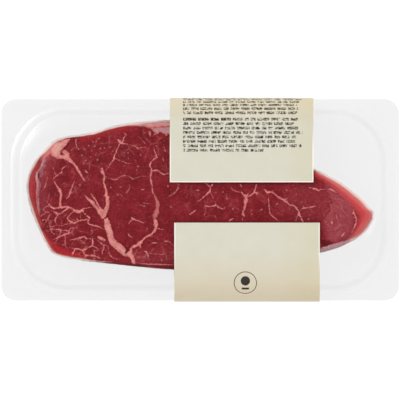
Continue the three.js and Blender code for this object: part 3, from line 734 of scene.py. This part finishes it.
# The tray's rounded rectangles, from the floor's edge down the wall and out over the flange's ridges.
def traySections():
    form = trayForm
    low, high = (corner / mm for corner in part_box("tray"))
    flangeTop = low.z + form["thickness"]
    sections = []
    for k in range(form["wallSteps"] + 1):
        share = k / form["wallSteps"]
        x, y = (high[i] - inset + share * (inset - form["flange"][i])
                for i, inset in enumerate(form["floorInset"]))
        corner = form["floorCorner"] + share * (form["wallCorner"] - form["floorCorner"])
        fall = (1 - math.cos(math.pi * share)) / 2
        drawn = min(1, form["wallDrawn"] * share, form["wallDrawn"] * (1 - share))
        sections.append((x, y, corner, high.z - fall * (high.z - flangeTop), drawn))
    for share, up in form["ridges"]:
        x, y = (high[i] - (1 - share) * form["flange"][i] for i in (0, 1))
        corner = form["corner"] + (1 - share) * (form["wallCorner"] - form["corner"])
        sections.append((x, y, corner, flangeTop + up, form["flangeDrawn"]))
    return sections


# The floor is a capped circle pulled out to a rounded rectangle. Wall and flange are drawn out of its rim.
def makeTray():
    form = trayForm
    sections = traySections()
    bm = bmesh.new()
    drawn = bm.verts.layers.float.new("drawn")
    steps = form["aroundSteps"]
    rim = bmesh.ops.create_circle(bm, cap_ends=True, segments=steps, radius=1,
                                  matrix=Matrix.Rotation(math.pi / steps, 4, "Z"))["verts"]
    edges = list(bm.edges)
    reshapeRing(rim, drawn, (1, 1, 1), sections[0])
    for old, new in zip(sections[:-1], sections[1:]):
        made = bmesh.ops.extrude_edge_only(bm, edges=edges)["geom"]
        edges = [g for g in made if isinstance(g, bmesh.types.BMEdge)]
        reshapeRing([g for g in made if isinstance(g, bmesh.types.BMVert)], drawn, old, new)
    bmesh.ops.scale(bm, vec=(mm, mm, mm), verts=bm.verts)
    bmesh.ops.recalc_face_normals(bm, faces=bm.faces)
    if max(bm.faces, key=lambda f: f.calc_area()).normal.z < 0:
        bmesh.ops.reverse_faces(bm, faces=bm.faces)
    bmesh.ops.solidify(bm, geom=bm.faces, thickness=form["thickness"] * mm)
    return newPiece("clear_tray", bm)


# Waves in mm, and roughness where the sheet is flat and where it is drawn out.
trayLooks = {"ior": 1.49, "tint": "FDFDFD", "roughness": (0.12, 0.52), "wave": 14.0, "depth": 0.05,
             "glancing": 0.2}
# The film clings to the tray, so little is mirrored between the two.
filmLooks = {"ior": 1.28, "tint": "FAFAFA", "roughness": (0.36, 0.36), "wave": 9.0, "depth": 0.12,
             "glancing": 0.06}


# Clear plastic sheet seen straight through: its light is what it mirrors at its edges and bends.
def clearSheet(name, looks):
    material, tree = newMaterial(name)
    node = partial(addNode, tree)
    wave = node("TexNoise", {"Vector": millimetres(tree), "Scale": 1 / looks["wave"], "Detail": 2.0})
    bump = node("Bump", {"Height": wave, "Strength": 1.0, "Distance": looks["depth"] * mm})
    facing = node("LayerWeight", {"Blend": 0.5, "Normal": bump})
    rise = node("Math", {0: facing.outputs["Facing"], 1: 5.0}, operation="POWER")
    straight = ((looks["ior"] - 1) / (looks["ior"] + 1)) ** 2
    mirrored = node("Math", {0: rise, 1: looks["glancing"], 2: straight}, operation="MULTIPLY_ADD")
    through = node("BsdfTransparent", {"Color": linear(looks["tint"])})
    drawn = node("Attribute", attribute_name="drawn").outputs["Fac"]
    flat, stretched = looks["roughness"]
    dull = node("MapRange", {"Value": drawn, "To Min": flat, "To Max": stretched})
    gloss = node("BsdfGlossy", {"Color": linear(white), "Roughness": dull, "Normal": bump})
    shader = node("MixShader", {0: mirrored, 1: through, 2: gloss})
    node("OutputMaterial", {"Surface": shader})
    return material


filmForm = {
    "hug": 1.5, "away": 0.08,       # mm: drawn to the steak from, and laid off it by
    "rim": 0.7, "upright": 0.5,     # mm from the flange, and how far the rim's faces look up at most
    "lookUp": 0.1,                  # how far the steak's side looks up at most where the film hugs it
}


# The film is far thinner than its solid, so it is one sheet: the solid's outer face, drawn in against the
# steak.
def makeFilm(steak):
    form = filmForm
    surface = BVHTree.FromObject(steak, bpy.context.evaluated_depsgraph_get())
    bm = copyOfNode("skin_film")
    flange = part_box("tray")[0].z
    rim = [f for f in bm.faces if abs(f.normal.z) < form["upright"]
           and all(abs(v.co.z - flange) < form["rim"] * mm for v in f.verts)]
    bmesh.ops.delete(bm, geom=rim, context="FACES")
    lowest = min(bm.faces, key=lambda f: f.calc_center_median().z)
    sheet, edge = {lowest}, [lowest]
    while edge:
        face = edge.pop()
        beside = {f for e in face.edges for f in e.link_faces} - sheet
        sheet |= beside
        edge.extend(beside)
    bmesh.ops.delete(bm, geom=[f for f in bm.faces if f not in sheet], context="FACES")
    bmesh.ops.subdivide_edges(bm, edges=bm.edges, cuts=1, use_grid_fill=True)
    for v in bm.verts:
        place, out, face, away = surface.find_nearest(v.co)
        if away < form["hug"] * mm and out.z < form["lookUp"]:
            v.co = place + out * form["away"] * mm
    return newPiece("skin_film_sheet", bm)


sleeveForm = {
    "thickness": 0.35, "bendSteps": 30, "flatSteps": 8,     # mm and counts
    "upper": {"free": 10.5, "left": -18.1, "right": 68.0},
    "lower": {"free": -13.7, "left": -15.4, "right": 71.8},
    "shiftFrom": 15.0,      # mm across, from where the panel's side edges move over to the lower flap's
}


# The card's stations round the pack: each has y, z and the flap whose side edges it has.
def sleeveStations():
    form = sleeveForm
    low, high = (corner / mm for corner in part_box("sleeve"))
    radius = (high.z - low.z) / 2
    straight = high.y - radius
    upper, lower = form["upper"], form["lower"]
    stations = []
    for k in range(form["flatSteps"]):
        stations.append((upper["free"] + (straight - upper["free"]) * k / form["flatSteps"], high.z, upper))
    for side, flap in ((1, upper), (-1, lower)):
        for k in range(form["bendSteps"] + 1):
            turn = side * math.pi / 2 - math.pi * k / form["bendSteps"]
            y = side * straight + radius * math.cos(turn)
            stations.append((y, radius + radius * math.sin(turn), flap))
        if flap is upper:
            stations.append((form["shiftFrom"], low.z, upper))
    for k in range(1, form["flatSteps"] + 1):
        stations.append((-straight + (lower["free"] + straight) * k / form["flatSteps"], high.z, lower))
    return stations, radius, straight


# Its UV map is in millimetres: along X, and round the pack from the upper flap's free edge.
def makeSleeve():
    form = sleeveForm
    stations, radius, straight = sleeveStations()
    bm = bmesh.new()
    y, z, flap = stations[0]
    edge = bm.edges.new([bm.verts.new((x * mm, y * mm, z * mm)) for x in (flap["left"], flap["right"])])
    for y, z, flap in stations[1:]:
        made = bmesh.ops.extrude_edge_only(bm, edges=[edge])["geom"]
        edge = next(g for g in made if isinstance(g, bmesh.types.BMEdge))
        for v, side in zip(sorted(edge.verts, key=lambda v: v.co.x), ("left", "right")):
            v.co = (flap[side] * mm, y * mm, z * mm)
    bmesh.ops.recalc_face_normals(bm, faces=bm.faces)
    if max(bm.faces, key=lambda f: f.calc_center_median().z).normal.z < 0:
        bmesh.ops.reverse_faces(bm, faces=bm.faces)
    bmesh.ops.solidify(bm, geom=bm.faces, thickness=form["thickness"] * mm)
    uv = bm.loops.layers.uv.new("cardMillimetres")
    outside = bm.faces.layers.float.new("outside")
    bend = math.pi * radius
    upperLength = straight - form["upper"]["free"]
    for face in bm.faces:
        middle = face.calc_center_median() / mm
        beyond = math.copysign(max(0.0, abs(middle.y) - straight), middle.y)
        face[outside] = float(face.normal.y * beyond + face.normal.z * (middle.z - radius) > 0)
        for loop in face.loops:
            x, y, z = loop.vert.co / mm
            if abs(y) <= straight and z > radius:
                along = y - form["upper"]["free"] if y > 0 else upperLength + 2 * bend + 3 * straight + y
            elif abs(y) <= straight:
                along = upperLength + bend + straight - y
            elif y > 0:
                along = upperLength + radius * (math.pi / 2 - math.atan2(z - radius, y - straight))
            else:
                turn = math.atan2(z - radius, -y - straight) + math.pi / 2
                along = upperLength + bend + 2 * straight + radius * turn
            loop[uv].uv = (x, along)
    return newPiece("card_sleeve", bm), upperLength, bend, straight


cardLooks = {
    "cream": "DCD9CA", "creamDeep": "D6D1BE", "sideWarm": "CDC79E", "ink": "221C16", "cutEdge": "FFF4EA",
    "fibre": 0.7, "mottle": 11.0,       # mm
    "cutWidth": (0.8, 0.4),             # mm over which an edge turns pale
    "cutReach": (34.0, 20.0),           # mm from the free ends that the side edges are worn pale
    # Warmer and darker towards the bends, a warm tint with painted shade where the card turns away from the
    # lamps: mm that it reaches past the bend, share and colour.
    "bendWarmthAndShade": {"lower": (22.0, 0.42, "D2B991"), "upper": (6.0, 0.52, "CDBD99")},
    "sideWarmth": (46.0, 66.0, 0, 0.3),     # mm along X from and to, and shares
    "inkCover": 0.97, "roughness": (0.68, 0.85), "ior": 1.5, "specular": 0.25,
    "bump": (0.2, 0.1),                 # share, and mm
}
# Rows of small dark marks, counted from the upper flap's free edge. In mm, apart from the shares.
markRows = {
    "firstRow": 19.2, "pitch": 2.66, "rows": 17, "height": 1.7, "boldRow": 7, "extraGap": 1.24,
    "left": -10.2, "right": 61.5, "ragged": 5.0, "boldEnd": 22.0, "lastEnd": 42.0, "firstMark": 1.2,
    "word": 6.2, "wordGap": 0.55, "mark": (0.42, 0.43), "share": 0.63, "boldShare": 0.82,
    "rowStep": 37.31, "sameRow": 0.1,       # words from row to row, and rows apart that count as none
}
# A plain ring with a disc and a bar, on the lower flap.
ringMark = {
    "x": 27.2, "y": -49.9, "outer": 6.9, "line": 0.45, "disc": 2.8, "discUp": 1.3, "bar": (2.2, 0.6),
    "barUp": -3.4,
}


# Uncoated card, offset printed: matt and slightly mottled, with fine fibres, pale cut edges and dark ink.
def uncoatedCard(upperLength, bend, straight):
    looks, rows, mark = cardLooks, markRows, ringMark
    material, tree = newMaterial("uncoated_card_printed")
    node = partial(addNode, tree)
    place = node("UVMap", uv_map="cardMillimetres")
    split = node("SeparateXYZ", {0: place})
    across, along = split.outputs[0], split.outputs[1]
    mottle = node("TexNoise", {"Vector": place, "Scale": 1 / looks["mottle"]})
    fibre = node("TexNoise", {"Vector": place, "Scale": 1 / looks["fibre"], "Detail": 4.0})
    cutWidth, cutReach, sideWarmth = (
        dict(zip(spanSockets, looks[name])) for name in ("cutWidth", "cutReach", "sideWarmth"))
    upperBend = upperLength + bend / 2
    lowerBend = upperBend + bend + 2 * straight
    panel = lowerBend / 2 + upperBend / 2
    away = {}
    for name, middle in (("lower", lowerBend), ("upper", upperBend), ("panel", panel)):
        offset = node("Math", {0: along, 1: middle}, operation="SUBTRACT")
        away[name] = node("Math", {0: offset}, operation="ABSOLUTE")

    # The bare card: warmer to the right, warmer and darker towards the bends with painted shade there, and
    # pale along its free edges.
    warm = node("MapRange", {"Value": across, **sideWarmth})
    layers = [(mottle, looks["creamDeep"]), (warm, looks["sideWarm"])]
    # Painted shade with a warm tint towards each bend.
    for flap, (reach, share, tone) in looks["bendWarmthAndShade"].items():
        warm = node("MapRange", {"Value": away[flap], "From Min": bend / 2 + reach, "From Max": bend / 4,
                                 "To Max": share}, interpolation_type="SMOOTHSTEP")
        layers.append((warm, tone))
    endAway = node("Math", {0: panel, 1: away["panel"]}, operation="SUBTRACT")
    nearEnd = node("MapRange", {"Value": endAway, **cutReach})
    cut = node("MapRange", {"Value": endAway, **cutWidth})
    for side, sign in (("left", 1), ("right", -1)):
        sideEdge = node("MapRange", {
            "Value": along, "From Min": upperLength + bend + straight - sleeveForm["shiftFrom"],
            "From Max": upperLength + bend + 2 * straight,
            "To Min": -sign * sleeveForm["upper"][side], "To Max": -sign * sleeveForm["lower"][side]})
        sideAway = node("Math", {0: across, 1: float(sign), 2: sideEdge}, operation="MULTIPLY_ADD")
        sideLine = node("MapRange", {"Value": sideAway, **cutWidth})
        sideLine = node("Math", {0: sideLine, 1: nearEnd}, operation="MULTIPLY")
        cut = node("Math", {0: cut, 1: sideLine}, operation="MAXIMUM")
    layers.append((cut, looks["cutEdge"]))

    # Rows at one pitch, once the wider gap above the bold row is taken out.
    gapAt = rows["firstRow"] + (rows["boldRow"] + 0.5) * rows["pitch"]
    taken = node("MapRange", {"Value": along, "From Min": gapAt, "From Max": gapAt + rows["extraGap"],
                              "To Max": rows["extraGap"]})
    closed = node("Math", {0: along, 1: taken}, operation="SUBTRACT")
    start = rows["firstRow"] - rows["pitch"] / 2
    fromFirst = node("Math", {0: closed, 1: start}, operation="SUBTRACT")
    rowPlace = node("Math", {0: fromFirst, 1: rows["pitch"]}, operation="DIVIDE")
    row = node("Math", {0: rowPlace}, operation="FLOOR")
    part = node("Math", {0: rowPlace}, operation="FRACT")
    inRow = node("Math", {0: part, 1: 0.5, 2: rows["height"] / rows["pitch"] / 2}, operation="COMPARE")
    half = rows["rows"] / 2
    inBlock = node("Math", {0: rowPlace, 1: half, 2: half}, operation="COMPARE")
    ragged = node("TexWhiteNoise", {"W": row}, noise_dimensions="1D")
    rightEnd = node("Math", {0: ragged, 1: -rows["ragged"], 2: rows["right"]}, operation="MULTIPLY_ADD")
    lastRow = node("Math", {0: row, 1: 0.0, 2: rows["sameRow"]}, operation="COMPARE")
    rightEnd = node("Math", {0: lastRow, 1: rows["lastEnd"] - rows["right"], 2: rightEnd},
                    operation="MULTIPLY_ADD")
    pastLeft = node("Math", {0: across, 1: rows["left"]}, operation="GREATER_THAN")
    beforeEnd = node("Math", {0: across, 1: rightEnd}, operation="LESS_THAN")

    # Words of marks, each mark smaller than a letter, and darker in the bold row.
    wordScale = node("Math", {0: across, 1: rows["word"]}, operation="DIVIDE")
    wordPlace = node("Math", {0: row, 1: rows["rowStep"], 2: wordScale}, operation="MULTIPLY_ADD")
    words = node("TexVoronoi", {"W": wordPlace, "Scale": 1.0}, voronoi_dimensions="1D",
                 feature="DISTANCE_TO_EDGE")
    inWord = node("Math", {0: words, 1: rows["wordGap"] / rows["word"]}, operation="GREATER_THAN")
    atStart = node("Math", {0: across, 1: rows["left"] + rows["firstMark"]}, operation="LESS_THAN")
    inWord = node("Math", {0: inWord, 1: atStart}, operation="MAXIMUM")
    wide, high = rows["mark"]
    cells = node("Mapping", {"Vector": place, "Scale": (1 / wide, 1 / high, 1)})
    cell = node("VectorMath", {0: cells}, operation="FLOOR")
    chance = node("TexWhiteNoise", {"Vector": cell}, noise_dimensions="2D")
    boldRow = node("Math", {0: row, 1: float(rows["boldRow"]), 2: rows["sameRow"]}, operation="COMPARE")
    boldPart = node("Math", {0: across, 1: rows["boldEnd"]}, operation="LESS_THAN")
    bold = node("Math", {0: boldRow, 1: boldPart}, operation="MULTIPLY")
    share = node("Math", {0: bold, 1: rows["boldShare"] - rows["share"], 2: rows["share"]},
                 operation="MULTIPLY_ADD")
    ink = node("Math", {0: chance, 1: share}, operation="LESS_THAN")
    for limit in (inWord, pastLeft, beforeEnd, inBlock, inRow):
        ink = node("Math", {0: ink, 1: limit}, operation="MULTIPLY")

    # The ring and what is in it.
    radius = bend / math.pi
    markAlong = lowerBend + bend / 2 - radius * math.asin((-mark["y"] - straight) / radius)
    fromMark = node("VectorMath", {0: place, 1: (mark["x"], markAlong, 0)}, operation="SUBTRACT")
    markAway = node("VectorMath", {0: fromMark}, operation="LENGTH").outputs["Value"]
    halfLine = mark["line"] / 2
    ring = node("Math", {0: markAway, 1: mark["outer"] - halfLine, 2: halfLine}, operation="COMPARE")
    fromDisc = node("VectorMath", {0: fromMark, 1: (0, mark["discUp"], 0)}, operation="SUBTRACT")
    discAway = node("VectorMath", {0: fromDisc}, operation="LENGTH").outputs["Value"]
    disc = node("Math", {0: discAway, 1: mark["disc"]}, operation="LESS_THAN")
    offset = node("SeparateXYZ", {0: fromMark})
    barLong = node("Math", {0: offset.outputs[0], 1: 0.0, 2: mark["bar"][0]}, operation="COMPARE")
    barHigh = node("Math", {0: offset.outputs[1], 1: mark["barUp"], 2: mark["bar"][1]}, operation="COMPARE")
    bar = node("Math", {0: barLong, 1: barHigh}, operation="MULTIPLY")
    for shape in (ring, disc, bar):
        ink = node("Math", {0: ink, 1: shape}, operation="MAXIMUM")
    outside = node("Attribute", attribute_name="outside").outputs["Fac"]
    for cover in (looks["inkCover"], outside):
        ink = node("Math", {0: ink, 1: cover}, operation="MULTIPLY")
    layers.append((ink, looks["ink"]))

    colour = linear(looks["cream"])
    for share, tone in layers:
        colour = node("Mix", {0: share, 6: colour, 7: linear(tone)}, data_type="RGBA")
    strength, depth = looks["bump"]
    bump = node("Bump", {"Height": fibre, "Strength": strength, "Distance": depth * mm})
    smooth, rough = looks["roughness"]
    dull = node("MapRange", {"Value": fibre, "To Min": smooth, "To Max": rough})
    shader = node("BsdfPrincipled", {"Base Color": colour, "Roughness": dull, "Normal": bump,
                                     "IOR": looks["ior"], "Specular IOR Level": looks["specular"]})
    node("OutputMaterial", {"Surface": shader})
    return material


stageForm = {"floorHalf": 6.0, "floorDrop": 0.05, "glow": 0.95, "tone": "595959"}     # m, mm


# A white sweep that is lit from behind a little, as on a light table.
def makeStage():
    bm = bmesh.new()
    bmesh.ops.create_grid(bm, x_segments=1, y_segments=1, size=stageForm["floorHalf"])
    bmesh.ops.translate(bm, verts=bm.verts, vec=(0, 0, -stageForm["floorDrop"] * mm))
    floor = newPiece("floor", bm)
    material, tree = newMaterial("white_sweep")
    shader = addNode(tree, "BsdfPrincipled", {
        "Base Color": linear(stageForm["tone"]), "Roughness": 0.9, "Specular IOR Level": 0.0,
        "Emission Color": linear(white), "Emission Strength": stageForm["glow"]})
    addNode(tree, "OutputMaterial", {"Surface": shader})
    floor.data.materials.append(material)
    floor.visible_glossy = False    # the plastic mirrors the room, not the glow below it


# Where each lamp stands and its size, in m, and its watts. The rim lamps stand low, for the steak's sides.
lamps = {
    "keyLeft": ((-1.5, 1.2, 2.2), (1.6, 1.6), 43.5),
    "fillRight": ((1.8, -0.6, 2.2), (1.6, 1.6), 15.0),
    "fillFront": ((0.0, -1.9, 2.0), (1.6, 1.6), 12.4),
    "fillBack": ((0.3, 1.9, 2.2), (1.6, 1.6), 6.5),
    "leftCard": ((-1.05, 0.62, 1.0), (0.5, 0.8), 30.0),
    "rimLeft": ((-2.2, 0.0, 0.45), (1.6, 0.6), 14.0),
    "rimRight": ((2.2, 0.0, 0.45), (1.6, 0.6), 22.0),
    "rimCorner": ((1.9, 1.1, 0.45), (1.0, 0.6), 12.0),
    "rimFront": ((0.0, -2.2, 0.45), (1.6, 0.6), 12.0),
    "rimBack": ((0.0, 2.2, 0.45), (1.6, 0.6), 7.5),
}
mirroredLamp = "leftCard"       # it only shows as a gleam in the plastic, where the others don't show
# The room's light, from the ground up to the sides and from the sides up to the zenith.
worldSpans = ((-0.2, 0.1, 0.05, 0.25), (0.55, 0.95, 0.25, 0.04))


def makeLights():
    for name, (place, size, watts) in lamps.items():
        data = bpy.data.lights.new(name, "AREA")
        data.shape = "RECTANGLE"
        data.size, data.size_y = size
        data.energy = watts
        light = bpy.data.objects.new(name, data)
        light.location = place
        light.visible_glossy = name == mirroredLamp
        light.visible_diffuse = name != mirroredLamp
        light.visible_camera = False
        light.rotation_euler = (-Vector(place)).to_track_quat("-Z", "Y").to_euler()
        bpy.context.scene.collection.objects.link(light)
    world = bpy.data.worlds.new("studio")
    world.use_nodes = True
    tree = world.node_tree
    tree.nodes.clear()
    coords = addNode(tree, "TexCoord")
    split = addNode(tree, "SeparateXYZ", {0: coords.outputs["Generated"]})
    below, above = (addNode(tree, "MapRange", {"Value": split.outputs[2], **dict(zip(spanSockets, span))})
                    for span in worldSpans)
    strength = addNode(tree, "Math", {0: above, 1: below}, operation="MINIMUM")
    background = addNode(tree, "Background", {"Color": linear(white), "Strength": strength})
    addNode(tree, "OutputWorld", {"Surface": background})
    bpy.context.scene.world = world


# In m and mm, and the mm up where a pixel has its size.
viewForm = {"distance": 8.0, "clip": 50.0, "sensor": 36.0, "levelHeight": 17.5}


# Straight above the pack, as in the photograph.
def makeCamera():
    data = bpy.data.cameras.new("overhead")
    data.sensor_width = viewForm["sensor"]
    away = viewForm["distance"] - viewForm["levelHeight"] * mm
    data.lens = viewForm["sensor"] * away / (photo["pixels"] * photo["mmPerPixel"] * mm)
    data.clip_end = viewForm["clip"]
    camera = bpy.data.objects.new("overhead", data)
    middleDrop = (photo["pixels"] / 2 - photo["middle"][1]) * photo["mmPerPixel"] * mm
    camera.location = (0, -middleDrop, viewForm["distance"])
    bpy.context.scene.collection.objects.link(camera)
    bpy.context.scene.camera = camera
    bpy.context.scene.view_settings.view_transform = "Standard"


makeCamera()
makeLights()
makeStage()
print("camera, lights and floor made")

steak = makeSteak()
finishPiece(steak, "steak", rawBeef())
finishPiece(makeTray(), "tray", clearSheet("polyester_tray_thermoformed", trayLooks))
finishPiece(makeFilm(steak), "skin_film", clearSheet("skin_film_drawn", filmLooks))
sleeve, upperLength, bend, straight = makeSleeve()
finishPiece(sleeve, "sleeve", uncoatedCard(upperLength, bend, straight))
